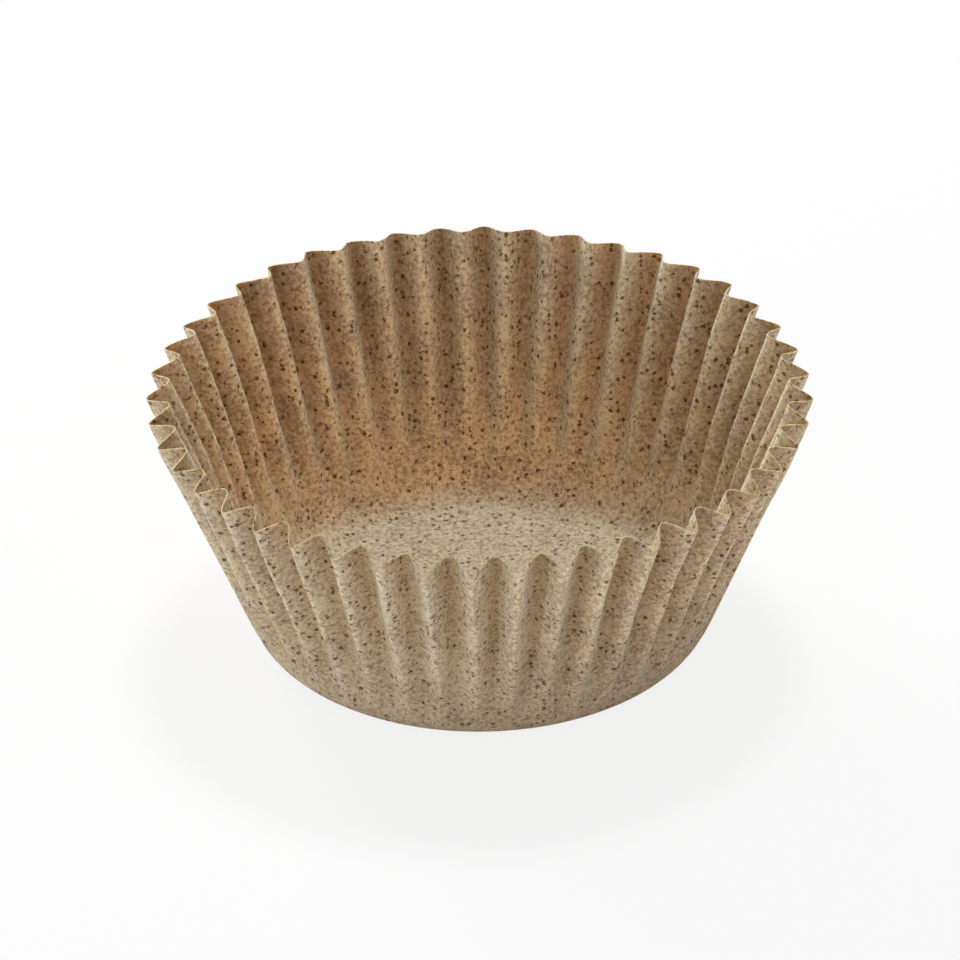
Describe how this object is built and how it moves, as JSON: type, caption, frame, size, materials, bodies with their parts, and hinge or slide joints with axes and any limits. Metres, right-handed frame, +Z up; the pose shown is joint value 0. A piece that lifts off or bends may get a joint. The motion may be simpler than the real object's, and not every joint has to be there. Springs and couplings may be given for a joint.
{
  "type": "cupcake liner",
  "caption": "Pleated paper baking cup with a flat round base, a rounded corner and a flared wall of narrow folds, in speckled natural brown paper.",
  "frame": {"origin": "centre of the underside of the flat base", "axes": "+Z up the cup's axis to the open rim, +X through the ridge of one pleat, +Y by the right-hand rule"},
  "size_m": [0.07, 0.07, 0.0282],
  "materials": {
    "paper": "matte"
  },
  "bodies": {
    "root": {"liner": "paper"}
  },
  "joints": []
}
